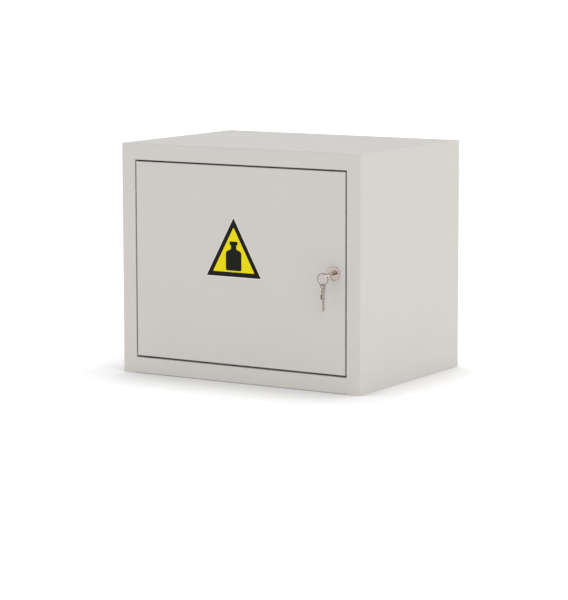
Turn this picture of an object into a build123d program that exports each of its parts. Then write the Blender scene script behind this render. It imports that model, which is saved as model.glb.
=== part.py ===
from build123d import *
import os
from math import floor, hypot, radians, tan

# Small lockable steel cabinet for reagents, in millimetres.
# A casing folded from sheet carries one inset door on two pin hinges. A wafer cam lock closes it,
# with its key left in the plug, a split ring through the key and a spare key on the ring.
# Origin at the middle of the base, on the surface that it stands on: +X right, +Y back, +Z up.

os.makedirs("parts", exist_ok=True)

# ---------------------------------------------------------------- driving dimensions
# Casing
body_width = 440.0
body_depth = 320.0
body_height = 370.0
sheet = 1.0                 # every folded panel
bend = 1.2                  # bend radius, measured at the middle of the sheet
stile_width = 25.0          # front frame, left and right
top_rail_height = 26.0
bottom_rail_height = 26.0
stop_lip = 12.0             # lip behind the door's edge
back_flange = 16.0          # flange that the back panel is welded to
seam_flange = 14.0          # flange of roof and floor that is welded to the side walls
panel_ease = 1.0            # keeps welded-in pieces off the bends around them
wall_hole_radius = 4.5      # four holes in the back for fixing to a wall
wall_hole_spacing_x = 300.0
wall_hole_spacing_z = 250.0

# Door
door_gap_side = 2.5
door_gap_top = 2.5
door_gap_bottom = 3.0
door_thickness = 18.0
door_return = 12.0          # flange turned in at the back of the pressed door
door_edge_radius = 1.2
mitre_gap = 0.4             # slit where two returns meet at a corner
stiffener_foot = 13.0
stiffener_crown = 24.0
stiffener_flare = 3.0       # the crown's walls lean in by this much
stiffener_depth = 14.0
stiffener_ease = 4.0        # the stiffener stops short of the door's flanges by this much
buffer_radius = 4.0
buffer_height = 2.2
buffer_chamfer = 0.8
stop_gap = 2.5              # from the closed door's back to the lip
buffer_inset = 4.5          # from the door's edge to the middle of a buffer
buffer_corner = 40.0        # from the opening's corners to the buffers on the strike
buffer_rail_x = 100.0

# Pin hinges
hinge_inset = 15.0          # from the door's hinge edge to the pin
hinge_depth = 8.0           # from the door's face to the pin
pin_radius = 3.0
pin_head_radius = 5.5
pin_head_height = 2.5
pin_head_chamfer = 0.6
pin_tip_chamfer = 1.0
pin_reach = 9.0             # length of pin inside the door
bush_wall = 1.5
bush_length = 8.0
collar_radius = 7.0
running_clearance = 0.05    # radial, pin in bush and plug in housing
seat_clearance = 0.05       # radial, between pieces that are pressed or riveted together
face_clearance = 0.1        # between flat faces that turn on each other
hinge_plate = 3.0           # thickness of the plates that carry pins and bushes
hinge_plate_length = 36.0
hinge_sweep_ease = 6.0      # past the circle that the door's back corner sweeps

# Shelf
upright_width = 22.0
upright_depth = 8.0
upright_front_inset = 62.0  # from the casing's front to the middle of an upright
upright_rear_inset = 36.0   # from the casing's back to the middle of an upright
slot_width = 12.0
slot_height = 3.0
slot_pitch = 25.0
slot_margin = 15.0
clip_slot = 5               # the clips hang in this slot, counted from the bottom one
clip_thickness = 1.5
clip_width = 11.0
clip_ledge = 14.0
clip_drop = 11.0
clip_hook = 3.8             # depth of the hook behind the upright's web
shelf_front_inset = 44.0
shelf_rear_inset = 10.0
shelf_side_gap = 3.0
shelf_flange = 15.0         # front and rear edges, turned down
shelf_hem = 10.0            # and turned in again below

# Cam lock
lock_inset = 20.2           # from the door's closing edge to the lock's axis
rosette_radius = 11.0
rosette_height = 2.5
rosette_chamfer = 1.2
barrel_radius = 9.0
barrel_flats = 16.0
barrel_length = 21.0
nut_across_flats = 24.0
nut_height = 4.5
nut_corner_radius = 13.2    # the hexagon's corners are turned down to this
nut_corner_taper = 4.0
plug_radius = 6.0
plug_head_radius = 7.5
plug_head_height = 1.5
plug_recess = 0.2           # the plug's face lies this far behind the rosette's
shank = 8.0                 # square end that drives the cam
turn_limit = 90.0
stop_pin_radius = 0.8
stop_pin_orbit = 7.2
stop_washer_radius = 8.6
stop_washer_height = 1.2
stop_margin = 20.0          # angle left free on both sides of the stop pin's travel
cam_hub_radius = 8.5
cam_reach = 20.0
cam_width = 13.0
cam_height = 2.0
cam_tip_radius = 2.5
screw_radius = 2.5
screw_length = 6.0
screw_across_flats = 8.0
screw_head_height = 3.5
screw_collar_radius = 6.0
screw_collar_height = 1.0
wafer_count = 5
wafer_pitch = 2.5
wafer_height = 1.2
wafer_width = 6.0
wafer_length = 10.2
wafer_clearance = 0.1
first_wafer = 0.8           # behind the door's face

# Keys and ring
key_thickness = 2.0
key_blade_width = 8.2
key_blade_length = 18.5
key_cuts = (0.6, 1.5, 1.0, 1.8, 0.8)
key_cut_width = 1.7         # flat floor of a cut
key_cut_angle = 60.0
key_tip = 1.0
key_neck_width = 9.4
key_neck_length = 7.5
key_bow_length = 16.5
key_bow_width = 14.0
key_bow_radius = 5.8
key_hole_radius = 3.2
key_hole_edge = 4.6         # from the end of the bow to the middle of its hole
ring_radius = 9.0           # at the middle of the wire
ring_wire_radius = 0.65
ring_wire_sides = 10        # the wire's round section is drawn with this many flats
ring_turn_offset = 1.1      # between the two turns of the split ring
ring_play = 0.8             # between the ring and the bow of the key in the lock
ring_slack = 0.3            # between the ring and the edge of the spare key's hole

# ---------------------------------------------------------------- reference lines
half = sheet / 2
side = body_width / 2
back = body_depth / 2
front = -body_depth / 2
side_mid = side - half
back_mid = back - half
front_mid = front + half
opening_x = side - stile_width
opening_bottom = bottom_rail_height
opening_top = body_height - top_rail_height
jamb_mid = opening_x + half
lip_front = front + door_thickness + stop_gap
lip_mid = lip_front + half
lip_back = lip_front + sheet

door_left = -opening_x + door_gap_side
door_right = opening_x - door_gap_side
door_bottom = opening_bottom + door_gap_bottom
door_top = opening_top - door_gap_top
door_width = door_right - door_left
door_height = door_top - door_bottom
door_mid_z = (door_top + door_bottom) / 2

pivot_x = door_left + hinge_inset
pivot_y = front + hinge_depth
hinge_sweep = hypot(hinge_inset, door_thickness - hinge_depth)
lip_start = pivot_x + hinge_sweep + hinge_sweep_ease

upright_front_y = front + upright_front_inset
upright_rear_y = back - upright_rear_inset
shelf_front_y = front + shelf_front_inset
shelf_rear_y = back - shelf_rear_inset

lock_x = door_right - lock_inset
lock_z = door_mid_z
lock_plane = Plane(origin=(lock_x, front, lock_z), x_dir=(1, 0, 0), z_dir=(0, -1, 0))
keyway_plane = Plane(origin=(lock_x, front, lock_z), x_dir=(0, 0, -1), z_dir=(0, -1, 0))


def write(name, part):
    """Label a finished piece and write its STEP file."""
    part.label = name
    export_step(part, f"parts/{name}.step")


# ---------------------------------------------------------------- casing: side walls
def side_panel(hand, lip):
    """Side wall folded with its stile, jamb and back flange; the strike side has a lip too."""
    outline = [
        (hand * (side - back_flange), back_mid),
        (hand * side_mid, back_mid),
        (hand * side_mid, front_mid),
        (hand * jamb_mid, front_mid),
        (hand * jamb_mid, lip_mid if lip else lip_back),
    ]
    if lip:
        outline.append((hand * (opening_x - stop_lip), lip_mid))
    with BuildPart() as panel:
        with BuildSketch():
            with BuildLine():
                FilletPolyline(*outline, radius=bend)
            trace(line_width=sheet)
        extrude(amount=body_height)
        # The jamb fits between floor and roof, and its lip between the rails.
        with BuildSketch(Plane.XY) as jamb_ends:
            with Locations((hand * (opening_x + sheet), (front + sheet + lip_back) / 2)):
                Rectangle(2 * sheet + 2 * bend, lip_back - front - sheet)
        extrude(amount=sheet, mode=Mode.SUBTRACT)
        extrude(jamb_ends.sketch.moved(Location((0, 0, body_height - sheet))),
                amount=sheet, mode=Mode.SUBTRACT)
        if lip:
            with BuildSketch(Plane.XY) as lip_ends:
                with Locations((hand * (opening_x - stop_lip), lip_mid)):
                    Rectangle(2 * stop_lip, 4 * sheet)
            extrude(amount=opening_bottom, mode=Mode.SUBTRACT)
            extrude(lip_ends.sketch.moved(Location((0, 0, opening_top))),
                    amount=top_rail_height, mode=Mode.SUBTRACT)
    return panel.part


write("side_panel_left", side_panel(-1, lip=False))
write("side_panel_right", side_panel(1, lip=True))


# ---------------------------------------------------------------- casing: roof and floor
def cross_panel(outer, inward, rail):
    """Roof or floor with its rail, stop lip and flanges, all turned towards the inside."""
    skin_mid = outer + inward * half
    rail_mid = outer + inward * (rail - half)
    rail_face = outer + inward * rail
    lip_end = rail_face + inward * stop_lip
    with BuildPart() as panel:
        # Rail, its shelf over the door and the stop lip, between the stiles
        with BuildSketch(Plane.YZ):
            with BuildLine():
                FilletPolyline((0, skin_mid), (front_mid, skin_mid), (front_mid, rail_mid),
                               (lip_mid, rail_mid), (lip_mid, lip_end), radius=bend)
            trace(line_width=sheet)
        extrude(amount=opening_x, both=True)
        # Back flange, between the back flanges of the sides
        with BuildSketch(Plane.YZ):
            with BuildLine():
                FilletPolyline((0, skin_mid), (back_mid, skin_mid),
                               (back_mid, outer + inward * back_flange), radius=bend)
            trace(line_width=sheet)
        extrude(amount=side - back_flange, both=True)
        # The sheet itself, between the side walls, and the flanges welded to them
        with BuildSketch(Plane.XY.offset(outer)):
            RectangleRounded(2 * (side - sheet), body_depth - 2 * sheet, bend)
        extrude(amount=inward * sheet)
        with BuildSketch(Plane.XY.offset(outer)):
            with GridLocations(2 * (side_mid - sheet), 0, 2, 1):
                Rectangle(sheet, body_depth - 2 * back_flange)
        extrude(amount=inward * seam_flange)
        # The lip is cut back at the strike and where the door's hinge corner swings
        with BuildSketch(Plane.XY.offset(rail_face)):
            for low, high in ((-opening_x, lip_start), (opening_x - stop_lip, opening_x)):
                with Locations(((low + high) / 2, lip_mid)):
                    Rectangle(high - low, 4 * sheet)
        extrude(amount=inward * (stop_lip + sheet), mode=Mode.SUBTRACT)
        with BuildSketch(Plane.XY.offset(rail_face)):
            with Locations((pivot_x, pivot_y)):
                Circle(pin_radius + seat_clearance)
        extrude(amount=-inward * 2 * sheet, mode=Mode.SUBTRACT)
    return panel.part


write("top_panel", cross_panel(body_height, -1, top_rail_height))
write("floor_panel", cross_panel(0, 1, bottom_rail_height))

# ---------------------------------------------------------------- casing: back
with BuildPart() as back_panel:
    with BuildSketch(Plane.XZ.offset(-(back - sheet))):
        with Locations((0, body_height / 2)):
            Rectangle(2 * (side - sheet - panel_ease), body_height - 2 * (sheet + panel_ease))
            with GridLocations(wall_hole_spacing_x, wall_hole_spacing_z, 2, 2):
                Circle(wall_hole_radius, mode=Mode.SUBTRACT)
    extrude(amount=sheet)
write("back_panel", back_panel.part)

# ---------------------------------------------------------------- shelf: slotted uprights
upright_bottom = seam_flange + panel_ease
upright_top = body_height - upright_bottom
upright_height = upright_top - upright_bottom
web_mid = side - sheet - upright_depth + half
web_face = web_mid - half
slot_steps = floor((upright_height - 2 * slot_margin) / slot_pitch)
first_slot_z = (upright_top + upright_bottom - slot_steps * slot_pitch) / 2


def shelf_upright(hand, middle_y):
    """Slotted channel, welded upright to a side wall with its web facing inwards."""
    leg = (upright_width - sheet) / 2
    with BuildPart() as upright:
        with BuildSketch(Plane.XY.offset(upright_bottom)):
            with BuildLine():
                FilletPolyline((hand * (side - sheet), middle_y - leg),
                               (hand * web_mid, middle_y - leg),
                               (hand * web_mid, middle_y + leg),
                               (hand * (side - sheet), middle_y + leg), radius=bend)
            trace(line_width=sheet)
        extrude(amount=upright_height)
        with BuildSketch(Plane.YZ.offset(hand * web_mid)):
            with Locations((middle_y, (upright_bottom + upright_top) / 2)):
                with GridLocations(0, slot_pitch, 1, slot_steps + 1):
                    Rectangle(slot_width, slot_height)
        extrude(amount=sheet, both=True, mode=Mode.SUBTRACT)
    return upright.part


for end_name, end_y in (("front", upright_front_y), ("rear", upright_rear_y)):
    for hand_name, hand in (("left", -1), ("right", 1)):
        write(f"shelf_upright_{end_name}_{hand_name}", shelf_upright(hand, end_y))

# ---------------------------------------------------------------- shelf: clips and panel
shelf_z = first_slot_z + clip_slot * slot_pitch + clip_thickness / 2
hook_x = web_face + sheet + panel_ease / 2
with BuildPart() as shelf_clips:
    for end_y in (upright_front_y, upright_rear_y):
        for hand in (-1, 1):
            with BuildSketch(Plane.XZ.offset(-end_y)):
                with BuildLine():
                    Polyline((hand * (web_face - clip_ledge), shelf_z),
                             (hand * (hook_x + clip_thickness), shelf_z),
                             (hand * (hook_x + clip_thickness), shelf_z - clip_hook),
                             (hand * hook_x, shelf_z - clip_hook),
                             (hand * hook_x, shelf_z - clip_thickness),
                             (hand * web_face, shelf_z - clip_thickness),
                             (hand * web_face, shelf_z - clip_drop),
                             (hand * (web_face - clip_thickness), shelf_z - clip_drop),
                             (hand * (web_face - clip_thickness), shelf_z - clip_thickness),
                             (hand * (web_face - clip_ledge), shelf_z - clip_thickness),
                             close=True)
                make_face()
            extrude(amount=clip_width / 2, both=True)
write("shelf_clips", shelf_clips.part)

shelf_bottom = shelf_z + sheet - shelf_flange
with BuildPart() as shelf_panel:
    # Front and rear edges are turned down and in, and the plain ends rest on the clips.
    with BuildSketch(Plane.YZ):
        with BuildLine():
            FilletPolyline((shelf_front_y + shelf_hem, shelf_bottom + half),
                           (shelf_front_y + half, shelf_bottom + half),
                           (shelf_front_y + half, shelf_z + half),
                           (shelf_rear_y - half, shelf_z + half),
                           (shelf_rear_y - half, shelf_bottom + half),
                           (shelf_rear_y - shelf_hem, shelf_bottom + half), radius=bend)
        trace(line_width=sheet)
    extrude(amount=web_face - shelf_side_gap, both=True)
write("shelf_panel", shelf_panel.part)

# ---------------------------------------------------------------- door: pressed pan
door_centre = Plane(origin=((door_left + door_right) / 2, front, door_mid_z),
                    x_dir=(1, 0, 0), z_dir=(0, -1, 0))
with BuildPart() as door_skin:
    with BuildSketch(door_centre):
        Rectangle(door_width, door_height)
    extrude(amount=-door_thickness)
    face_edges = door_skin.faces().sort_by(Axis.Y)[0].edges()
    fillet(face_edges, radius=door_edge_radius)
    # Hollow behind the face, with the returns left standing round the back
    with BuildSketch(door_centre.offset(-sheet)):
        Rectangle(door_width - 2 * sheet, door_height - 2 * sheet)
    extrude(amount=-(door_thickness - 2 * sheet), mode=Mode.SUBTRACT)
    with BuildSketch(door_centre.offset(-door_thickness)):
        Rectangle(door_width - 2 * door_return, door_height - 2 * door_return)
    extrude(amount=sheet, mode=Mode.SUBTRACT)
    mitre_x = (door_width - door_return) / 2
    mitre_z = (door_height - door_return) / 2
    with BuildSketch(door_centre.offset(-door_thickness)):
        for hand in (-1, 1):
            with Locations((hand * mitre_x, hand * mitre_z)):
                Rectangle(2 * door_return, mitre_gap, rotation=45)
            with Locations((hand * mitre_x, -hand * mitre_z)):
                Rectangle(2 * door_return, mitre_gap, rotation=-45)
    extrude(amount=sheet, mode=Mode.SUBTRACT)
    # Holes for the two bushes and for the lock's flattened barrel
    with BuildSketch(Plane.XY.offset(door_bottom)):
        with Locations((pivot_x, pivot_y)):
            Circle(pin_radius + running_clearance + bush_wall + seat_clearance)
    extrude(amount=door_height, mode=Mode.SUBTRACT)
    with BuildSketch(lock_plane):
        Circle(barrel_radius + seat_clearance)
        Rectangle(barrel_flats + 2 * seat_clearance, 3 * barrel_radius, mode=Mode.INTERSECT)
    extrude(amount=-sheet, mode=Mode.SUBTRACT)
write("door_skin", door_skin.part)

with BuildPart() as door_stiffener:
    crown_x = stiffener_crown / 2
    foot_y = front + sheet + half
    crown_y = foot_y + stiffener_depth - sheet
    with BuildSketch(Plane.XY.offset(door_bottom + sheet + stiffener_ease)):
        with BuildLine():
            FilletPolyline((-crown_x - stiffener_flare - stiffener_foot, foot_y),
                           (-crown_x - stiffener_flare, foot_y),
                           (-crown_x, crown_y), (crown_x, crown_y),
                           (crown_x + stiffener_flare, foot_y),
                           (crown_x + stiffener_flare + stiffener_foot, foot_y), radius=bend)
        trace(line_width=sheet)
    extrude(amount=door_height - 2 * (sheet + stiffener_ease))
write("door_stiffener", door_stiffener.part)


# ---------------------------------------------------------------- pin hinges
def hinge_set(door_edge, rail_face, inward, gap):
    """Pin and plate of the casing, bush and gusset of the door, at one end of the door.

    inward points from the rail into the opening, and gap is the space between rail and door.
    """
    bore = pin_radius + running_clearance
    plate_low_x = -opening_x + 2 * sheet
    with BuildPart() as plate:
        with BuildSketch(Plane.XY.offset(rail_face - inward * sheet)):
            with Locations((plate_low_x + hinge_plate_length / 2,
                            (front + lip_back) / 2)):
                Rectangle(hinge_plate_length, lip_back - front - 4 * bend)
            with Locations((pivot_x, pivot_y)):
                Circle(pin_radius + seat_clearance, mode=Mode.SUBTRACT)
        extrude(amount=-inward * hinge_plate)
        chamfer(plate.edges().filter_by(Axis.Z).sort_by(Axis.X)[-2:], length=hinge_plate)
    with BuildPart() as pin:
        head_z = rail_face - inward * (sheet + hinge_plate)
        with BuildSketch(Plane.XY.offset(head_z)):
            with Locations((pivot_x, pivot_y)):
                Circle(pin_head_radius)
        extrude(amount=-inward * pin_head_height)
        head_rim = pin.edges().filter_by(GeomType.CIRCLE).group_by(Axis.Z)[0 if inward > 0 else -1]
        chamfer(head_rim, length=pin_head_chamfer)
        with BuildSketch(Plane.XY.offset(head_z)):
            with Locations((pivot_x, pivot_y)):
                Circle(pin_radius)
        extrude(amount=inward * (sheet + hinge_plate + gap + pin_reach))
        pin_end = pin.edges().filter_by(GeomType.CIRCLE).group_by(Axis.Z)[-1 if inward > 0 else 0]
        chamfer(pin_end, length=pin_tip_chamfer)
    with BuildPart() as bush:
        with BuildSketch(Plane.XY.offset(door_edge)):
            with Locations((pivot_x, pivot_y)):
                Circle(collar_radius)
        extrude(amount=-inward * (gap - face_clearance))
        with BuildSketch(Plane.XY.offset(door_edge)):
            with Locations((pivot_x, pivot_y)):
                Circle(bore + bush_wall)
        extrude(amount=inward * bush_length)
        with BuildSketch(Plane.XY.offset(rail_face)):
            with Locations((pivot_x, pivot_y)):
                Circle(bore)
        extrude(amount=inward * (gap + bush_length), mode=Mode.SUBTRACT)
    with BuildPart() as gusset:
        gusset_length = 2 * hinge_inset
        gusset_depth = door_thickness - 2 * sheet
        with BuildSketch(Plane.XY.offset(door_edge + inward * sheet)):
            with Locations((door_left + sheet + gusset_length / 2, front + door_thickness / 2)):
                Rectangle(gusset_length, gusset_depth)
            with Locations((pivot_x, pivot_y)):
                Circle(bore + bush_wall + seat_clearance, mode=Mode.SUBTRACT)
        extrude(amount=inward * hinge_plate)
    return {"hinge_plate": plate.part, "hinge_pin": pin.part,
            "hinge_bush": bush.part, "hinge_gusset": gusset.part}


upper_hinge = hinge_set(door_top, opening_top, -1, door_gap_top)
lower_hinge = hinge_set(door_bottom, opening_bottom, 1, door_gap_bottom)
for piece, part in upper_hinge.items():
    write(f"{piece}_upper", part)
for piece, part in lower_hinge.items():
    write(f"{piece}_lower", part)

# ---------------------------------------------------------------- rubber buffers on the lips
with BuildPart() as door_buffers:
    with BuildSketch(Plane.XZ.offset(-lip_front)):
        with Locations((door_right - buffer_inset, opening_bottom + buffer_corner),
                       (door_right - buffer_inset, opening_top - buffer_corner),
                       (buffer_rail_x, door_bottom + buffer_inset),
                       (buffer_rail_x, door_top - buffer_inset)):
            Circle(buffer_radius)
    extrude(amount=buffer_height)
    buffer_rims = door_buffers.edges().filter_by(GeomType.CIRCLE).group_by(Axis.Y)[0]
    chamfer(buffer_rims, length=buffer_chamfer)
write("door_buffers", door_buffers.part)

# ---------------------------------------------------------------- cam lock
# Depths are measured from the door's face: positive out of it, negative into the cabinet.
plug_face = rosette_height - plug_recess
plug_seat = plug_face - plug_head_height
barrel_end = -barrel_length
shank_start = barrel_end - face_clearance
washer_end = shank_start - stop_washer_height
cam_end = washer_end - cam_height
stop_pin_angle = -90 - turn_limit / 2

with BuildPart() as lock_housing:
    with BuildSketch(lock_plane):
        Circle(rosette_radius)
    extrude(amount=rosette_height)
    rosette_rim = lock_housing.edges().filter_by(GeomType.CIRCLE).sort_by(Axis.Y)[0]
    chamfer(rosette_rim, length=rosette_chamfer)
    with BuildSketch(lock_plane):
        Circle(barrel_radius)
        Rectangle(barrel_flats, 3 * barrel_radius, mode=Mode.INTERSECT)
    extrude(amount=barrel_end)
    with BuildSketch(lock_plane.offset(barrel_end)):
        with PolarLocations(stop_pin_orbit, 1, start_angle=stop_pin_angle):
            Circle(stop_pin_radius)
    extrude(amount=-stop_washer_height + face_clearance)
    with BuildSketch(lock_plane.offset(rosette_height)):
        Circle(plug_head_radius + running_clearance)
    extrude(amount=plug_seat - rosette_height - face_clearance, mode=Mode.SUBTRACT)
    with BuildSketch(lock_plane.offset(rosette_height)):
        Circle(plug_radius + running_clearance)
    extrude(amount=barrel_end - rosette_height, mode=Mode.SUBTRACT)
write("lock_housing", lock_housing.part)

with BuildPart() as lock_nut:
    with BuildSketch(lock_plane.offset(-sheet)):
        RegularPolygon(nut_across_flats / 2, 6, major_radius=False)
        Circle(barrel_radius + seat_clearance, mode=Mode.SUBTRACT)
    extrude(amount=-nut_height)
    with BuildSketch(lock_plane.offset(-sheet)):
        Circle(nut_corner_radius)
    extrude(amount=-nut_height, mode=Mode.INTERSECT, taper=nut_corner_taper)
write("lock_nut", lock_nut.part)

with BuildPart() as lock_plug:
    with BuildSketch(lock_plane.offset(plug_face)):
        Circle(plug_head_radius)
    extrude(amount=-plug_head_height)
    with BuildSketch(lock_plane.offset(plug_face)):
        Circle(plug_radius)
    extrude(amount=shank_start - plug_face)
    with BuildSketch(lock_plane.offset(shank_start)):
        Rectangle(shank, shank)
    extrude(amount=cam_end + face_clearance - shank_start)
    # Keyway, the cross slots of the wafers and the tapped hole of the cam's screw
    with BuildSketch(keyway_plane.offset(plug_face)):
        Rectangle(key_thickness + 2 * wafer_clearance, key_blade_width + 4 * wafer_clearance)
    extrude(amount=-key_blade_length - wafer_pitch / 2, mode=Mode.SUBTRACT)
    for step in range(wafer_count):
        with BuildSketch(keyway_plane.offset(-first_wafer - step * wafer_pitch)):
            Rectangle(wafer_width + 2 * wafer_clearance, 3 * plug_radius)
        extrude(amount=wafer_height / 2 + wafer_clearance, both=True, mode=Mode.SUBTRACT)
    with BuildSketch(lock_plane.offset(cam_end)):
        Circle(screw_radius + seat_clearance)
    extrude(amount=screw_length, mode=Mode.SUBTRACT)
write("lock_plug", lock_plug.part)

with BuildPart() as lock_wafers:
    blade_half = key_blade_width / 2
    for step, cut in enumerate(key_cuts[:wafer_count]):
        window_low = -blade_half - wafer_clearance
        window_high = blade_half - cut + wafer_clearance
        with BuildSketch(keyway_plane.offset(-first_wafer - step * wafer_pitch)):
            Rectangle(wafer_width, wafer_length)
            with Locations((0, (window_low + window_high) / 2)):
                Rectangle(key_thickness + 2 * wafer_clearance, window_high - window_low,
                          mode=Mode.SUBTRACT)
        extrude(amount=wafer_height / 2, both=True)
write("lock_wafers", lock_wafers.part)

with BuildPart() as cam_stop_washer:
    with BuildSketch(lock_plane.offset(shank_start)):
        Circle(stop_washer_radius)
        Rectangle(shank + 2 * seat_clearance, shank + 2 * seat_clearance, mode=Mode.SUBTRACT)
        with BuildLine():
            notch_start = stop_pin_angle - stop_margin
            notch_sweep = turn_limit + 2 * stop_margin
            outer_arc = CenterArc((0, 0), stop_washer_radius + sheet, notch_start, notch_sweep)
            inner_arc = CenterArc((0, 0), stop_pin_orbit - stop_pin_radius - wafer_clearance,
                                  notch_start, notch_sweep)
            Line(outer_arc @ 0, inner_arc @ 0)
            Line(outer_arc @ 1, inner_arc @ 1)
        make_face(mode=Mode.SUBTRACT)
    extrude(amount=-stop_washer_height)
write("cam_stop_washer", cam_stop_washer.part)

with BuildPart() as cam:
    with BuildSketch(lock_plane.offset(washer_end)):
        Circle(cam_hub_radius)
        with Locations((0, cam_reach / 2)):
            Rectangle(cam_width, cam_reach)
        Rectangle(shank + 2 * seat_clearance, shank + 2 * seat_clearance, mode=Mode.SUBTRACT)
    extrude(amount=-cam_height)
    fillet(cam.edges().filter_by(Axis.Y).group_by(Axis.Z)[-1], radius=cam_tip_radius)
write("cam", cam.part)

with BuildPart() as cam_screw:
    with BuildSketch(lock_plane.offset(cam_end)):
        Circle(screw_collar_radius)
    extrude(amount=-screw_collar_height)
    with BuildSketch(lock_plane.offset(cam_end - screw_collar_height)):
        RegularPolygon(screw_across_flats / 2, 6, major_radius=False)
    extrude(amount=-screw_head_height)
    with BuildSketch(lock_plane.offset(cam_end)):
        Circle(screw_radius)
    extrude(amount=screw_length - seat_clearance)
write("cam_screw", cam_screw.part)

# ---------------------------------------------------------------- keys
key_shoulder = plug_face + face_clearance
key_bow_start = key_shoulder + key_neck_length
key_end = key_bow_start + key_bow_length
key_hole = key_end - key_hole_edge


def cut_key(plane):
    """Flat key: blade with its cuts, neck and bow. The plane's x runs from the tip to the bow."""
    blade_end = key_shoulder - key_blade_length
    with BuildPart() as key:
        with BuildSketch(plane):
            with Locations(((key_shoulder + blade_end) / 2, 0)):
                Rectangle(key_blade_length, key_blade_width)
        extrude(amount=key_thickness / 2, both=True)
        tip_face = key.faces().sort_by(Axis(plane.origin, plane.x_dir))[0]
        chamfer(tip_face.edges().filter_by(Axis(plane.origin, plane.z_dir)), length=key_tip)
        with BuildSketch(plane):
            with Locations(((key_shoulder + key_bow_start) / 2, 0)):
                Rectangle(key_neck_length, key_neck_width)
            with Locations(((key_bow_start + key_end) / 2, 0)):
                RectangleRounded(key_bow_length, key_bow_width, key_bow_radius)
            with Locations((key_hole, 0)):
                Circle(key_hole_radius, mode=Mode.SUBTRACT)
        extrude(amount=key_thickness / 2, both=True)
        with BuildSketch(plane):
            for step, cut in enumerate(key_cuts):
                mouth = key_cut_width + 4 * cut / tan(radians(key_cut_angle))
                with Locations((-first_wafer - step * wafer_pitch, key_blade_width / 2)):
                    Trapezoid(mouth, 2 * cut, key_cut_angle, rotation=180)
        extrude(amount=key_thickness, both=True, mode=Mode.SUBTRACT)
    return key.part


# With the lock open the key lies level, its cuts towards the strike.
key_plane = Plane(origin=(lock_x, front, lock_z), x_dir=(0, -1, 0), z_dir=(0, 0, 1))
write("key", cut_key(key_plane))

# The ring hangs on the bow: its wire goes down through the middle of the hole and comes back up
# round the bow's side. The spare key hangs on the ring.
ring_drop = ring_radius - ring_wire_radius - key_thickness / 2 - ring_play
ring_x = lock_x - (ring_radius ** 2 - ring_drop ** 2) ** 0.5
ring_y = front - key_hole
ring_z = lock_z - ring_drop
with BuildPart() as key_ring:
    with BuildSketch(Plane.XY.offset(ring_z)):
        with Locations((ring_x + ring_radius, ring_y - ring_turn_offset / 2),
                       (ring_x + ring_radius, ring_y + ring_turn_offset / 2)):
            RegularPolygon(ring_wire_radius, ring_wire_sides)
    revolve(axis=Axis((ring_x, ring_y, ring_z), (0, 1, 0)))
write("key_ring", key_ring.part)

spare_hole_z = ring_z - ring_radius - (key_hole_radius - ring_wire_radius - ring_slack)
spare_plane = Plane(origin=(ring_x, ring_y, spare_hole_z - key_hole), x_dir=(0, 0, 1), z_dir=(1, 0, 0))
write("spare_key", cut_key(spare_plane))
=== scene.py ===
from math import cos, pi, radians, sin, tau

import bmesh
import bpy
from mathutils import Matrix, Vector


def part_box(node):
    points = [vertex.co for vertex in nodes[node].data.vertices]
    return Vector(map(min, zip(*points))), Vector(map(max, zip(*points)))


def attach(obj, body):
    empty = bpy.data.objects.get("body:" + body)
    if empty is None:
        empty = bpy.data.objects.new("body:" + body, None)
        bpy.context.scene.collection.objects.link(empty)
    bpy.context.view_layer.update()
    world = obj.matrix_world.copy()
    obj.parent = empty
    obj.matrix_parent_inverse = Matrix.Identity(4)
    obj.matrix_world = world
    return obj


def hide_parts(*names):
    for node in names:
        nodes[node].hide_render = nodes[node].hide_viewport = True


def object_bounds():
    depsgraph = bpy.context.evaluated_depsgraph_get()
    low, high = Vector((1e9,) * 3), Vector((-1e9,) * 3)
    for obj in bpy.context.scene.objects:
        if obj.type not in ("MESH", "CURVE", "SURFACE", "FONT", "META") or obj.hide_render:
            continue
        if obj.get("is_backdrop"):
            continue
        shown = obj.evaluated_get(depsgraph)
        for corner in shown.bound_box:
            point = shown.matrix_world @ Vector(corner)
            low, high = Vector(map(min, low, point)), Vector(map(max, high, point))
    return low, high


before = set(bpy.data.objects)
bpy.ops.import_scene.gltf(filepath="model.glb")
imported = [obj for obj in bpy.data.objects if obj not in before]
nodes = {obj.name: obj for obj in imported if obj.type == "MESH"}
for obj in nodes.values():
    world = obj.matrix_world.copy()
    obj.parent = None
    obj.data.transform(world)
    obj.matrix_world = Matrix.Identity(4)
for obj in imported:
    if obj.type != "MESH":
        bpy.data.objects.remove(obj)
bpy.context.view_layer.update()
scene = bpy.context.scene
scene.view_settings.view_transform = "Standard"

# ------------------------------------------------------------------ camera
# The photograph's view: round to the right of the door and a little above it, from about
# four metres away, which keeps the upright edges nearly parallel.
turn, rise, lean = radians(31.61), radians(8.05), radians(-0.10)
back = Vector((sin(turn) * cos(rise), -cos(turn) * cos(rise), sin(rise)))
right = Vector((cos(turn), sin(turn), 0))
up = back.cross(right)
right, up = right * cos(lean) + up * sin(lean), up * cos(lean) - right * sin(lean)
place = Vector((2.098, -3.433, 0.682))

camera = bpy.data.objects.new("camera", bpy.data.cameras.new("camera"))
camera.data.lens = 150.66
camera.data.sensor_width = 36
camera.matrix_world = Matrix([(r, u, b, p) for r, u, b, p in zip(right, up, back, place)]
                             + [(0, 0, 0, 1)])
scene.collection.objects.link(camera)
scene.camera = camera


# ------------------------------------------------------------------ studio
# A matt white table top under a soft tent of light. The camera, gloss and glass see plain
# white behind the cabinet, and the table keeps a soft shadow round its foot, partly cast and
# partly painted.
def linear(colour):
    """An sRGB colour such as "#D1CDC9" as linear red, green, blue and alpha."""
    values = [int(colour[i:i + 2], 16) / 255 for i in (1, 3, 5)]
    return [v / 12.92 if v <= 0.04045 else ((v + 0.055) / 1.055) ** 2.4 for v in values] + [1]


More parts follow.
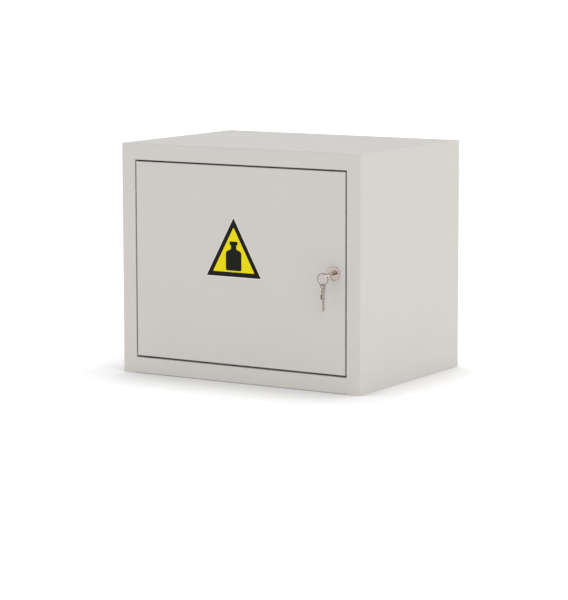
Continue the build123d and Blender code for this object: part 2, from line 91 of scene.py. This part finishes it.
# The sockets of a colour Mix node: the colours it blends, and the blend
tone_a, tone_b, blended = 6, 7, 2


def add(tree, kind, inputs=None, **settings):
    """A new node with its settings, whose inputs are set to a value or linked to an output."""
    node = tree.nodes.new(kind)
    for name, value in settings.items():
        setattr(node, name, value)
    for name, value in (inputs or {}).items():
        if isinstance(value, bpy.types.NodeSocket):
            tree.links.new(value, node.inputs[name])
        else:
            node.inputs[name].default_value = value
    return node


tent = bpy.data.worlds.new("light_tent")
tent.use_nodes = True
tree = tent.node_tree
tree.nodes.clear()
ray = add(tree, "ShaderNodeLightPath")
seen = add(tree, "ShaderNodeMath", {0: ray.outputs["Is Camera Ray"],
                                    1: ray.outputs["Is Glossy Ray"]}, operation="MAXIMUM")
seen = add(tree, "ShaderNodeMath", {0: seen.outputs[0],
                                    1: ray.outputs["Is Transmission Ray"]}, operation="MAXIMUM")
glow = add(tree, "ShaderNodeBackground", {"Color": linear("#FFFFFF"), "Strength": 0.80})
white = add(tree, "ShaderNodeBackground", {"Color": linear("#FFFFFF"), "Strength": 1.0})
mixed = add(tree, "ShaderNodeMixShader", {0: seen.outputs[0], 1: glow.outputs[0],
                                          2: white.outputs[0]})
add(tree, "ShaderNodeOutputWorld", {"Surface": mixed.outputs[0]})
scene.world = tent

table_half = 60.0               # metres, so that its edge lies far behind the cabinet
mesh = bpy.data.meshes.new("table_top")
mesh.from_pydata([(-table_half, -table_half, 0), (table_half, -table_half, 0),
                  (table_half, table_half, 0), (-table_half, table_half, 0)], [], [(0, 1, 2, 3)])
table = bpy.data.objects.new("table_top", mesh)
scene.collection.objects.link(table)
# Matt white paper: no gloss. To the camera it carries a painted shadow, darker where the
# cabinet's occlusion reaches it. Light that bounces off it on to the cabinet sees it evenly
# white.
paper = bpy.data.materials.new("white_paper")
paper.use_nodes = True
tree = paper.node_tree
tree.nodes.clear()
ray = add(tree, "ShaderNodeLightPath")
near = add(tree, "ShaderNodeAmbientOcclusion", {"Distance": 0.15})
unseen = add(tree, "ShaderNodeMath", {0: 1.0, 1: ray.outputs["Is Camera Ray"]},
             operation="SUBTRACT")
painted_shadow_factor = add(tree, "ShaderNodeMath", {0: near.outputs["AO"], 1: unseen.outputs[0]},
               operation="MAXIMUM")
shade = add(tree, "ShaderNodeMix", {"Factor": painted_shadow_factor.outputs[0], tone_a: linear("#B8B8B8"),
                                    tone_b: linear("#F6F6F6")}, data_type="RGBA")
matt = add(tree, "ShaderNodeBsdfDiffuse", {"Color": shade.outputs[blended]})
# A painted glow lifts the open table to white and fades out near the cabinet, deepening the
# painted shadow there
painted_shadow_lift = add(tree, "ShaderNodeMapRange", {"Value": near.outputs["AO"], "From Min": 0.4,
                                             "To Min": 0.0, "To Max": 0.30})
# Painted light: beside and behind the cabinet the camera sees the table a little brighter than in
# front, which thins the shadow there.
spot = add(tree, "ShaderNodeSeparateXYZ",
           {"Vector": add(tree, "ShaderNodeNewGeometry").outputs["Position"]})
painted_light_beside = add(tree, "ShaderNodeMapRange", {"Value": spot.outputs["Y"], "From Min": -0.19,
                                          "From Max": -0.10, "To Min": 0.0, "To Max": 0.14})
painted_light_beside = add(tree, "ShaderNodeMath", {0: painted_light_beside.outputs[0], 1: ray.outputs["Is Camera Ray"]},
             operation="MULTIPLY")
lift = add(tree, "ShaderNodeMath", {0: painted_shadow_lift.outputs[0], 1: painted_light_beside.outputs[0]},
           operation="ADD")
painted_glow = add(tree, "ShaderNodeEmission", {"Color": linear("#FFFFFF"), "Strength": lift.outputs[0]})
lifted = add(tree, "ShaderNodeAddShader", {0: matt.outputs[0], 1: painted_glow.outputs[0]})
add(tree, "ShaderNodeOutputMaterial", {"Surface": lifted.outputs[0]})
mesh.materials.append(paper)
table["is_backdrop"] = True

# A wide soft window high on the right, which makes the side and the roof brighter than the door
window = bpy.data.objects.new("side_window", bpy.data.lights.new("side_window", "SUN"))
window.data.energy = 0.49
window.data.angle = radians(70)
window.rotation_mode = "QUATERNION"
window.rotation_quaternion = Vector((0.80, -0.30, 0.52)).to_track_quat("Z", "Y")
scene.collection.objects.link(window)


# ------------------------------------------------------------------ casing and shelf
# Folded from 1 mm steel sheet, spot-welded and powder coated in a light warm grey. The CAD
# panels carry the shape, and the coat gives them a satin gloss and a very fine orange peel.
def powder_coat(name, colour, shade):
    """Baked powder on steel: satin, with fine orange peel, faint cloudiness and painted gap
    shade.
    """
    cloud_width, peel_pitch, peel_height, gap_shade_width = 0.0909, 0.0025, 0.0002, 0.0035
    coat = bpy.data.materials.new(name)
    coat.use_nodes = True
    tree = coat.node_tree
    skin = tree.nodes["Principled BSDF"]
    spot = add(tree, "ShaderNodeTexCoord").outputs["Object"]
    # Clouds about 90 mm across, where the powder lies a little thicker
    clouds = add(tree, "ShaderNodeTexNoise", {"Vector": spot, "Scale": 1 / cloud_width,
                                              "Detail": 2.0})
    tint = add(tree, "ShaderNodeMix", {"Factor": clouds.outputs["Fac"], tone_a: linear(colour),
                                       tone_b: linear(shade)}, data_type="RGBA")
    # Orange peel 2.5 mm from crest to crest: the real one is half that, too fine to show
    peel = add(tree, "ShaderNodeTexNoise", {"Vector": spot, "Scale": 1 / peel_pitch,
                                            "Detail": 1.0})
    relief = add(tree, "ShaderNodeBump", {"Height": peel.outputs["Fac"], "Strength": 0.12,
                                          "Distance": peel_height})
    gloss = add(tree, "ShaderNodeMapRange", {"Value": clouds.outputs["Fac"],
                                             "To Min": 0.38, "To Max": 0.46})
    # Painted shade: seams and gaps only a few millimetres wide are darkened towards a deep grey,
    # where shade falls
    gap_ao = add(tree, "ShaderNodeAmbientOcclusion", {"Distance": gap_shade_width}, samples=8)
    painted_gap_shade = add(tree, "ShaderNodeMapRange", {"Value": gap_ao.outputs["AO"], "From Min": 0.12,
                                            "From Max": 0.40, "To Min": 0.0, "To Max": 1.0})
    tint = add(tree, "ShaderNodeMix", {"Factor": painted_gap_shade.outputs[0], tone_a: linear("#343230"),
                                       tone_b: tint.outputs[blended]}, data_type="RGBA")
    tree.links.new(tint.outputs[blended], skin.inputs["Base Color"])
    tree.links.new(gloss.outputs[0], skin.inputs["Roughness"])
    tree.links.new(relief.outputs[0], skin.inputs["Normal"])
    skin.inputs["IOR"].default_value = 1.5
    return coat


# A light warm grey on the casing, and a shade darker on the shelf, from another batch
casing_coat = powder_coat("powder_coat_casing", "#CECAC6", "#CBC7C3")
shelf_coat = powder_coat("powder_coat_shelf", "#CCC8C4", "#C8C4C0")


def dress(material, *names):
    """Gives CAD nodes their finish."""
    for name in names:
        nodes[name].data.materials.clear()
        nodes[name].data.materials.append(material)


dress(casing_coat, "side_panel_left", "side_panel_right", "top_panel", "floor_panel",
      "back_panel", "shelf_upright_front_left", "shelf_upright_front_right",
      "shelf_upright_rear_left", "shelf_upright_rear_right")
dress(shelf_coat, "shelf_panel")

# ------------------------------------------------------------------ door
# A pressed steel pan with rounded front edges, stiffened by a hat section that is spot-welded
# inside. It has the same powder coat as the casing, a shade darker.
door_coat = powder_coat("powder_coat_door", "#CDC9C5", "#CAC6C2")
dress(door_coat, "door_skin", "door_stiffener")


# ------------------------------------------------------------------ frame welds
# Where a rail of roof or floor meets a stile, the groove beside the stile's bend is filled with
# weld, ground nearly flush and coated like the rest.
def finished(name, mesh, body, material=None):
    """A new piece from a mesh that is in place, riding on a body, with the given finish if any.
    """
    piece = bpy.data.objects.new(name, mesh)
    scene.collection.objects.link(piece)
    if material:
        mesh.materials.clear()
        mesh.materials.append(material)
    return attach(piece, body)


rail_height, stile_width, bend_radius = 0.026, 0.025, 0.0017
# The weld lies a hair below the frame's face, and stops short of the bend and of the corners
weld_depth, weld_end, bend_share, bend_steps = 0.00006, 0.0012, 0.985, 8
fillers = bmesh.new()
casing_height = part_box("top_panel")[1].z
case_low, case_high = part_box("side_panel_left")[0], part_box("side_panel_right")[1]
for hand, side in ((-1, case_low.x), (1, case_high.x)):
    rail_end = side - hand * stile_width
    arc = [(rail_end, case_low.y + weld_depth)]
    for step in range(bend_steps + 1):
        angle = pi / 2 * step / bend_steps
        arc.append((rail_end + hand * bend_radius * (1 - sin(angle) * bend_share),
                    case_low.y + bend_radius * (1 - cos(angle)) + weld_depth))
    for low_z, high_z in ((weld_end, rail_height),
                          (casing_height - rail_height, casing_height - weld_end)):
        foot, head = ([fillers.verts.new((x, y, z)) for x, y in arc] for z in (low_z, high_z))
        for i in range(len(arc)):
            fillers.faces.new((foot[i - 1], foot[i], head[i], head[i - 1]))
        fillers.faces.new(foot)
        fillers.faces.new(list(reversed(head)))
bmesh.ops.recalc_face_normals(fillers, faces=fillers.faces)
mesh = bpy.data.meshes.new("frame_welds")
fillers.to_mesh(mesh)
fillers.free()
finished("frame_welds", mesh, "casing", casing_coat)

# ------------------------------------------------------------------ spot welds
# The prints that the welding electrodes leave, 5.4 mm across, under the same coat: along the
# edges of the back panel, the flanges of roof and floor and the feet of the door's stiffener.
def weld_rows(start, end, count, facing):
    """Evenly spaced weld points along a line, each with the direction that its face looks in."""
    return [(start.lerp(end, i / (count - 1)), facing) for i in range(count)]


def settled(piece):
    """The piece's mesh with its modifiers worked in. The piece itself goes away."""
    view = bpy.context.evaluated_depsgraph_get()
    mesh = bpy.data.meshes.new_from_object(piece.evaluated_get(view))
    bpy.data.objects.remove(piece)
    return mesh


def spot_welds(name, body, coat, points):
    """One mesh of shallow round prints on the given points."""
    mesh = bpy.data.meshes.new(name)
    mesh.from_pydata([spot for spot, facing in points], [], [])
    mesh.attributes.new("facing", "FLOAT_VECTOR", "POINT").data.foreach_set(
        "vector", [value for spot, facing in points for value in facing])
    tree = bpy.data.node_groups.new(name, "GeometryNodeTree")
    tree.interface.new_socket("Geometry", in_out="INPUT", socket_type="NodeSocketGeometry")
    sizes = {"Foot Radius": 0.0027, "Crown Radius": 0.0021, "Height": 0.00022}
    sockets = {label: tree.interface.new_socket(label, in_out="INPUT",
                                                socket_type="NodeSocketFloat").identifier
               for label in sizes}
    tree.interface.new_socket("Geometry", in_out="OUTPUT", socket_type="NodeSocketGeometry")
    rows = add(tree, "NodeGroupInput")
    facing = add(tree, "GeometryNodeInputNamedAttribute", {"Name": "facing"},
                 data_type="FLOAT_VECTOR")
    outward = add(tree, "FunctionNodeAlignRotationToVector",
                  {"Vector": facing.outputs["Attribute"]}, axis="Z")
    disc = add(tree, "GeometryNodeMeshCone", {"Vertices": 24, "Side Segments": 1,
                                              "Radius Top": rows.outputs["Crown Radius"],
                                              "Radius Bottom": rows.outputs["Foot Radius"],
                                              "Depth": rows.outputs["Height"]})
    prints = add(tree, "GeometryNodeInstanceOnPoints",
                 {"Points": rows.outputs[0], "Instance": disc.outputs["Mesh"],
                  "Rotation": outward.outputs["Rotation"]})
    solid = add(tree, "GeometryNodeRealizeInstances", {"Geometry": prints.outputs[0]})
    coated = add(tree, "GeometryNodeSetMaterial", {"Geometry": solid.outputs[0],
                                                   "Material": coat})
    add(tree, "NodeGroupOutput", {0: coated.outputs[0]})
    piece = bpy.data.objects.new(name, mesh)
    scene.collection.objects.link(piece)
    welds = piece.modifiers.new("prints", "NODES")
    welds.node_group = tree
    for label, identifier in sockets.items():
        welds[identifier] = sizes[label]
    return finished(name, settled(piece), body)


sheet = 0.001
back_low, back_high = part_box("back_panel")
roof_low, roof_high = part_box("top_panel")
edge_margin, flange_margin = 0.006, 0.007
row_start_x, row_start_z, flange_front, flange_rear = 0.03, 0.04, -0.125, 0.130
points = []
for z in (back_low.z + edge_margin, back_high.z - edge_margin):
    points += weld_rows(Vector((back_low.x + row_start_x, back_low.y, z)),
                        Vector((back_high.x - row_start_x, back_low.y, z)), 7, (0, -1, 0))
for x in (back_low.x + edge_margin, back_high.x - edge_margin):
    points += weld_rows(Vector((x, back_low.y, back_low.z + row_start_z)),
                        Vector((x, back_low.y, back_high.z - row_start_z)), 6, (0, -1, 0))
for hand, x in ((1, roof_low.x + sheet), (-1, roof_high.x - sheet)):
    for z in (flange_margin, roof_high.z - flange_margin):
        points += weld_rows(Vector((x, flange_front, z)), Vector((x, flange_rear, z)), 6,
                            (hand, 0, 0))
spot_welds("casing_spot_welds", "casing", casing_coat, points)

hat_low, hat_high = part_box("door_stiffener")
foot_y, foot_end = hat_low.y + sheet, 0.02
points = []
for x in (hat_low.x + flange_margin, hat_high.x - flange_margin):
    points += weld_rows(Vector((x, foot_y, hat_low.z + foot_end)),
                        Vector((x, foot_y, hat_high.z - foot_end)), 7, (0, 1, 0))
spot_welds("door_spot_welds", "door", door_coat, points)

# ------------------------------------------------------------------ zinc-plated fittings
# Hinge pins, plates and gussets, shelf clips, nut and cam: punched or turned steel, bright
# zinc plated, with the slightly blue and cloudy shine that barrel plating leaves.
def plated(name, colour, roughness, grain):
    """Plated metal: cloudy colour and gloss, with fine scratches of the given spacing.

    The clouds are twenty times as wide as the scratches are apart.
    """
    metal = bpy.data.materials.new(name)
    metal.use_nodes = True
    tree = metal.node_tree
    skin = tree.nodes["Principled BSDF"]
    spot = add(tree, "ShaderNodeTexCoord").outputs["Object"]
    clouds = add(tree, "ShaderNodeTexNoise", {"Vector": spot, "Scale": 1 / (20 * grain),
                                              "Detail": 3.0})
    tint = add(tree, "ShaderNodeMix", {"Factor": clouds.outputs["Fac"],
                                       tone_a: linear(colour[0]), tone_b: linear(colour[1])},
               data_type="RGBA")
    gloss = add(tree, "ShaderNodeMapRange", {"Value": clouds.outputs["Fac"],
                                             "To Min": roughness[0], "To Max": roughness[1]})
    scratches = add(tree, "ShaderNodeTexNoise", {"Vector": spot, "Scale": 1 / grain,
                                                 "Detail": 2.0})
    relief = add(tree, "ShaderNodeBump", {"Height": scratches.outputs["Fac"], "Strength": 0.15,
                                          "Distance": 0.00005})
    tree.links.new(tint.outputs[blended], skin.inputs["Base Color"])
    tree.links.new(gloss.outputs[0], skin.inputs["Roughness"])
    tree.links.new(relief.outputs[0], skin.inputs["Normal"])
    skin.inputs["Metallic"].default_value = 1.0
    return metal


def blank(node):
    """A loose copy of a CAD node's mesh, with the corners of its faces joined."""
    shape = bmesh.new()
    shape.from_mesh(nodes[node].data)
    bmesh.ops.remove_doubles(shape, verts=shape.verts, dist=1e-6)
    mesh = bpy.data.meshes.new(node + "_blank")
    shape.to_mesh(mesh)
    shape.free()
    piece = bpy.data.objects.new(node + "_blank", mesh)
    scene.collection.objects.link(piece)
    return piece


def eased(piece, width):
    """Rounds the piece's sharp edges by a bevel of the given width."""
    bevel = piece.modifiers.new("ease", "BEVEL")
    bevel.width = width
    bevel.segments = 2
    bevel.limit_method = "ANGLE"
    bevel.angle_limit = radians(32)
    return piece


# Bright zinc plate: a cool grey, half mirror and half cloud
zinc = plated("zinc_plate", ("#C3C6C8", "#B2B3B0"), (0.28, 0.42), 0.0004)
dress(zinc, "hinge_pin_upper", "hinge_pin_lower", "lock_nut", "cam_screw")
# The punched pieces have their sharp edges tumbled off
for body, ease, names in (("casing", 0.00025, ("hinge_plate_upper", "hinge_plate_lower",
                                               "shelf_clips")),
                          ("door", 0.00025, ("hinge_gusset_upper", "hinge_gusset_lower")),
                          ("lock_core", 0.0002, ("cam", "cam_stop_washer"))):
    for node in names:
        punched = finished(node + "_eased", settled(eased(blank(node), ease)), body,
                           zinc)
        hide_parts(node)

# ------------------------------------------------------------------ bushes and buffers
# Two flanged bushes of black nylon, pressed into the door, and four self-adhesive buffers
# of black rubber on the stop lips.

# Moulded nylon has the soft sheen of its tool's face
nylon = bpy.data.materials.new("black_nylon")
nylon.use_nodes = True
skin = nylon.node_tree.nodes["Principled BSDF"]
skin.inputs["Base Color"].default_value = linear("#1C1C1B")
skin.inputs["Roughness"].default_value = 0.42
# Rubber is as dark, and almost without gloss
rubber = bpy.data.materials.new("black_rubber")
rubber.use_nodes = True
skin = rubber.node_tree.nodes["Principled BSDF"]
skin.inputs["Base Color"].default_value = linear("#232323")
skin.inputs["Roughness"].default_value = 0.72
dress(nylon, "hinge_bush_upper", "hinge_bush_lower")
dress(rubber, "door_buffers")

# ------------------------------------------------------------------ label on the door
# A triangle of yellow self-adhesive film, 100 mm along its foot and a little taller than an
# even one, printed with a black edge and the outline of a bottle. It is stuck on the door.
label_side = 0.104
label_stretch = 1.06            # height against that of an even triangle
label_margin = 0.0009           # pale edge of the film outside the print
label_border = 0.0070
label_thickness = 0.00018
film_corner, print_corner, field_corner = 0.0018, 0.0010, 0.0007
bottle_rise = 0.0018            # of the bottle's middle above the triangle's
label_middle = Vector((-0.0085, 0, 0.199))
door_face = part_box("door_skin")[0].y


def rounded_triangle(inset, radius, steps=8):
    """Corners of an upright triangle, moved in by inset and rounded, in the door's plane."""
    inner = label_side / (2 * 3 ** 0.5) - inset - radius
    points = []
    for corner in range(3):
        middle = pi / 2 + corner * tau / 3
        for step in range(steps + 1):
            angle = middle + (step / steps - 0.5) * tau / 3
            points.append((2 * inner * cos(middle) + radius * cos(angle),
                           label_stretch * (2 * inner * sin(middle) + radius * sin(angle))))
    return points


def bottle_outline(steps=6):
    """The outline of a bottle with round shoulders and a stopper, 29 mm wide and 46 mm high."""
    body, neck, stopper, low, high = 0.0145, 0.0050, 0.0074, -0.0230, 0.0230
    shoulder, foot = 0.0060, 0.0028
    shoulder_z, neck_z, stopper_height, stopper_slope = 0.0030, 0.0112, 0.0060, 0.0006
    half = [(body - foot + foot * sin(a), low + foot - foot * cos(a))
            for a in (pi / 2 * s / steps for s in range(steps + 1))]
    half += [(body - shoulder + shoulder * cos(a), shoulder_z + shoulder * sin(a))
             for a in (pi / 2 * s / steps for s in range(steps + 1))]
    half += [(neck, neck_z), (neck, high - stopper_height),
             (stopper, high - stopper_height + stopper_slope), (stopper, high)]
    return half + [(-x, z) for x, z in reversed(half)]


flat = bmesh.new()


def loop_of(points, depth=0.0):
    """Adds a closed loop of points, in the plane of the label's face, and gives its corners."""
    return [flat.verts.new((label_middle.x + x, door_face - label_thickness + depth,
                            label_middle.z + z)) for x, z in points]


def band(outer, inner, finish):
    """Fills between two loops of equally many points."""
    for i in range(len(outer)):
        j = (i + 1) % len(outer)
        face = flat.faces.new((outer[i], outer[j], inner[j], inner[i]))
        face.material_index = finish


clear, black, yellow = 0, 1, 2
film_back = loop_of(rounded_triangle(0.0, film_corner), label_thickness)
film_edge = loop_of(rounded_triangle(0.0, film_corner))
print_edge = loop_of(rounded_triangle(label_margin, print_corner))
field_edge = loop_of(rounded_triangle(label_margin + label_border, field_corner))
bottle = loop_of([(x, z + bottle_rise) for x, z in bottle_outline()])
band(film_back, film_edge, clear)
band(film_edge, print_edge, clear)
band(print_edge, field_edge, black)
flat.faces.new(bottle).material_index = black
rims = [flat.edges.get((ring[i], ring[i - 1])) or flat.edges.new((ring[i], ring[i - 1]))
        for ring in (field_edge, bottle) for i in range(len(ring))]
filled = bmesh.ops.triangle_fill(flat, use_beauty=True, edges=rims, normal=(0, -1, 0))
for face in filled["geom"]:
    if isinstance(face, bmesh.types.BMFace):
        face.material_index = yellow
flat.faces.new(list(reversed(film_back))).material_index = clear
bmesh.ops.recalc_face_normals(flat, faces=flat.faces)
mesh = bpy.data.meshes.new("label")
flat.to_mesh(mesh)
flat.free()


def printed_film(name, colour, worn):
    """Vinyl film with a soft gloss, its ink slightly uneven over about 11 mm."""
    film = bpy.data.materials.new(name)
    film.use_nodes = True
    tree = film.node_tree
    skin = tree.nodes["Principled BSDF"]
    spot = add(tree, "ShaderNodeTexCoord").outputs["Object"]
    clouds = add(tree, "ShaderNodeTexNoise", {"Vector": spot, "Scale": 90.0, "Detail": 2.0})
    tint = add(tree, "ShaderNodeMix", {"Factor": clouds.outputs["Fac"], tone_a: linear(colour),
                                       tone_b: linear(worn)}, data_type="RGBA")
    tree.links.new(tint.outputs[blended], skin.inputs["Base Color"])
    skin.inputs["Roughness"].default_value = 0.55
    skin.inputs["IOR"].default_value = 1.46
    skin.inputs["Specular IOR Level"].default_value = 0.18
    return film


# A pale cut edge, deep black ink and a strong lemon yellow
finished("label", mesh, "door")
for film in (printed_film("clear_edge", "#EFEDE9", "#E8E6E1"),
             printed_film("black_print", "#0C0B09", "#12100D"),
             printed_film("yellow_print", "#E9DB08", "#E5D606")):
    mesh.materials.append(film)

# ------------------------------------------------------------------ lock housing
# Die-cast zinc, chrome plated: a rosette with a rolled rim in front of the door, and behind it
# a barrel with an 18 mm thread and two flats, held by the nut. A small pin stops the cam.

# Bright chrome: nearly a mirror, its darker pinkish grey tone a painted reflection of the room
# round it
chrome = plated("chrome_plate", ("#D3C5BF", "#B3A39C"), (0.08, 0.18), 0.0003)
rim_low, rim_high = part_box("lock_housing")
rim = (rim_high.x - rim_low.x) / 2
axis_x, axis_z = rim_low.x + rim, (rim_low.z + rim_high.z) / 2
proud = door_face - rim_low.y
stop_pin_reach = 0.0011         # of the stop pin past the barrel's end
barrel_end = rim_high.y - door_face - stop_pin_reach
head_bore, head_depth, plug_bore = 0.00755, 0.0018, 0.00605
roll_width, roll_depth, roll_steps, edge = 0.0013, 0.0016, 8, 0.0002
thread_crest, thread_depth, thread_pitch, flat_half = 0.0089, 0.00045, 0.001, 0.008
thread_lead, barrel_chamfer, around = 0.0002, 0.0006, 72
row_height = thread_pitch / 5
outline = [(head_bore, -proud + edge), (head_bore + edge, -proud)]
for step in range(roll_steps + 1):
    angle = pi / 2 * step / roll_steps
    outline.append((rim - roll_width + roll_width * sin(angle),
                    -proud + roll_depth * (1 - cos(angle))))
outline += [(rim, 0), (thread_crest, 0)]
rows = round((barrel_end - 2 * thread_lead) / row_height)
outline += [(thread_crest, thread_lead + row * row_height) for row in range(rows)]
outline += [(thread_crest - barrel_chamfer, barrel_end), (plug_bore, barrel_end),
            (plug_bore, head_depth - proud), (head_bore, head_depth - proud)]
shape = bmesh.new()
rings = []
for radius, depth in outline:
    ring = []
    for i in range(around):
        angle = tau * i / around
        r = radius
        if radius == thread_crest and depth > 0:
            phase = (depth / thread_pitch - i / around) % 1
            r -= thread_depth * abs(2 * phase - 1)
        x, z = r * cos(angle), r * sin(angle)
        if depth > 0 and radius > head_bore:
            x = max(-flat_half, min(flat_half, x))
        ring.append(shape.verts.new((axis_x + x, door_face + depth, axis_z + z)))
    rings.append(ring)
for i, ring in enumerate(rings):
    behind = rings[i - 1]
    for j in range(around):
        shape.faces.new((behind[j - 1], behind[j], ring[j], ring[j - 1]))
pin_angle, pin_orbit, pin_length = radians(-135), 0.0072, 0.002
pin_middle = Matrix.Translation((axis_x + pin_orbit * cos(pin_angle),
                                 rim_high.y - pin_length / 2,
                                 axis_z + pin_orbit * sin(pin_angle)))
bmesh.ops.create_cone(shape, cap_ends=True, segments=20, radius1=0.0008, radius2=0.0007,
                      depth=pin_length, matrix=pin_middle @ Matrix.Rotation(-pi / 2, 4, "X"))
bmesh.ops.recalc_face_normals(shape, faces=shape.faces)
mesh = bpy.data.meshes.new("lock_housing_turned")
shape.to_mesh(mesh)
shape.free()
mesh.polygons.foreach_set("use_smooth", [True] * len(mesh.polygons))
mesh.set_sharp_from_angle(angle=radians(32))
housing = finished("lock_housing_turned", mesh, "door", chrome)
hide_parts("lock_housing")

# ------------------------------------------------------------------ plug and wafers
# The plug is turned and chrome plated, with its keyway broached through the face. The wafers
# are stamped brass.

# Chrome that the key has rubbed: duller than the rosette, with the same painted reflection in its
# pinkish tone. The brass is bare and golden.
plug_chrome = plated("chrome_worn_painted_reflection", ("#D0C0B9", "#AE9D95"), (0.12, 0.26), 0.0003)
brass = plated("stamped_brass", ("#C9AE6C", "#B89A55"), (0.25, 0.38), 0.0003)
plug = finished("lock_plug_eased", settled(eased(blank("lock_plug"), 0.0002)), "lock_core",
                plug_chrome)
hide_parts("lock_plug")
dress(brass, "lock_wafers")

# ------------------------------------------------------------------ keys
# Two keys stamped from 2 mm brass strip, with a coined field in the bow, a step at the neck, a
# groove milled along each side of the blade and cuts in one edge. The neck's edges carry painted
# shade.

# Nickel is a warm silver. The neck's edges get a dark nickel as painted shade
nickel = plated("nickel_plate", ("#D9D4CC", "#C4BDB3"), (0.20, 0.34), 0.0003)
painted_neck_shade = plated("nickel_painted_neck_shade", ("#4A443E", "#37322D"), (0.40, 0.55), 0.0003)
bow_length, neck_length, blade_length, key_half = 0.0165, 0.0075, 0.0185, 0.0010
field_depth, field_margin, field_end, field_half = 0.00025, 0.0012, 0.0092, 0.0052
groove_depth, groove_middle, groove_shift, groove_half = 0.00045, -0.0002, 0.0011, 0.0008
neck_depth, neck_margin, past_key = 0.00015, 0.0004, 0.002


def cutter(low, high, corner, steps=6):
    """A block with rounded corners in the key's own frame, to be cut away from it."""
    shape = bmesh.new()
    points = []
    for sx, sy, start in ((1, 1, 0), (-1, 1, 1), (-1, -1, 2), (1, -1, 3)):
        cx = (high[0] - corner) if sx > 0 else (low[0] + corner)
        cy = (high[1] - corner) if sy > 0 else (low[1] + corner)
        for step in range(steps + 1):
            angle = pi / 2 * (start + step / steps)
            points.append((cx + corner * cos(angle), cy + corner * sin(angle)))
    floor_face = shape.faces.new([shape.verts.new((x, y, low[2])) for x, y in points])
    lifted = bmesh.ops.extrude_face_region(shape, geom=[floor_face])
    bmesh.ops.translate(shape, vec=(0, 0, high[2] - low[2]),
                        verts=[v for v in lifted["geom"] if isinstance(v, bmesh.types.BMVert)])
    bmesh.ops.recalc_face_normals(shape, faces=shape.faces)
    mesh = bpy.data.meshes.new("cutter")
    shape.to_mesh(mesh)
    shape.free()
    piece = bpy.data.objects.new("cutter", mesh)
    scene.collection.objects.link(piece)
    return piece


def milled_key(node, body, own_frame):
    """A key with its coined field and grooves, cut from the CAD node's blank.

    In the key's own frame the bow ends at x = 0 and the blade runs towards -x.
    """
    key = blank(node)
    shoulder = -bow_length - neck_length
    cutters = []
    for hand in (1, -1):
        low, high = sorted((hand * (key_half - field_depth), hand * past_key))
        cutters.append(cutter((-bow_length + field_margin, -field_half, low),
                              (-field_end, field_half, high), 0.0018))
        low, high = sorted((hand * (key_half - groove_depth), hand * past_key))
        middle = groove_middle + hand * groove_shift
        cutters.append(cutter((shoulder - blade_length - past_key, middle - groove_half, low),
                              (shoulder - 0.0010, middle + groove_half, high), 0.0007))
        low, high = sorted((hand * (key_half - neck_depth), hand * past_key))
        cutters.append(cutter((shoulder + neck_margin, -0.008, low),
                              (-bow_length - neck_margin, 0.008, high), 0.0004))
    for tool in cutters:
        tool.data.transform(own_frame)
        if own_frame.determinant() < 0:
            tool.data.flip_normals()
        cut = key.modifiers.new("cut", "BOOLEAN")
        cut.object = tool
        cut.solver = "EXACT"
    mesh = settled(eased(key, 0.00015))
    for tool in cutters:
        bpy.data.objects.remove(tool)
    piece = finished(node + "_milled", mesh, body, nickel)
    mesh.materials.append(painted_neck_shade)
    # The neck's side edges take the dark nickel: painted shade round the neck
    back_to_frame = own_frame.inverted()
    for face in mesh.polygons:
        spot = back_to_frame @ face.center
        across = (back_to_frame.to_3x3() @ face.normal).y
        if abs(spot.x + bow_length + neck_length / 2) < neck_length / 2 and abs(across) > 0.7:
            face.material_index = 1
    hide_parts(node)


low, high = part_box("key")
middle = (low + high) / 2
milled_key("key", "lock_core", Matrix([(0, 1, 0, middle.x), (-1, 0, 0, low.y),
                                       (0, 0, 1, middle.z), (0, 0, 0, 1)]))
low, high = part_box("spare_key")
middle = (low + high) / 2
milled_key("spare_key", "spare_key", Matrix([(0, 0, 1, middle.x), (0, -1, 0, middle.y),
                                             (1, 0, 0, high.z), (0, 0, 0, 1)]))

# ------------------------------------------------------------------ split ring
# Two turns of flattened spring wire, nickel plated. The wire crosses from one turn to the
# other at the lower left, where its two cut ends meet the crossing.

# Spring wire under thin nickel: greyer than the keys
wire = plated("nickel_wire", ("#A9A59E", "#86827A"), (0.20, 0.32), 0.0003)
low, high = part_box("key_ring")
middle = (low + high) / 2
wire_half, turn_half, turn_shift = 0.00064, 0.00057, 0.0006
turn_radius = (high.x - low.x) / 2 - wire_half
crossing_half, crossing_angle = radians(24), radians(205)
steps, wire_sides = 220, 14
shape = bmesh.new()
rings = []
for step in range(steps + 1):
    along = crossing_half + 2 * (tau - crossing_half) * step / steps
    rise = max(0.0, min(1.0, (along - tau + crossing_half) / (2 * crossing_half)))
    shift = turn_shift * (2 * rise * rise * (3 - 2 * rise) - 1)
    out = Vector((cos(crossing_angle + along), 0, sin(crossing_angle + along)))
    spot = Vector((middle.x, middle.y + shift, middle.z))
    rings.append([shape.verts.new(spot + out * (turn_radius + wire_half * cos(a))
                                  + Vector((0, turn_half * sin(a), 0)))
                  for a in (tau * k / wire_sides for k in range(wire_sides))])
for i in range(1, len(rings)):
    for k in range(wire_sides):
        shape.faces.new((rings[i - 1][k - 1], rings[i - 1][k], rings[i][k], rings[i][k - 1]))
shape.faces.new(rings[0])
shape.faces.new(list(reversed(rings[-1])))
bmesh.ops.recalc_face_normals(shape, faces=shape.faces)
mesh = bpy.data.meshes.new("split_ring")
shape.to_mesh(mesh)
shape.free()
mesh.polygons.foreach_set("use_smooth", [True] * len(mesh.polygons))
mesh.set_sharp_from_angle(angle=radians(40))
split_ring = finished("split_ring", mesh, "key_ring", wire)
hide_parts("key_ring")

# ------------------------------------------------------------------ size
# The dressed part's box in metres, from the shown pieces of the scene without the table.
low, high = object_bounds()
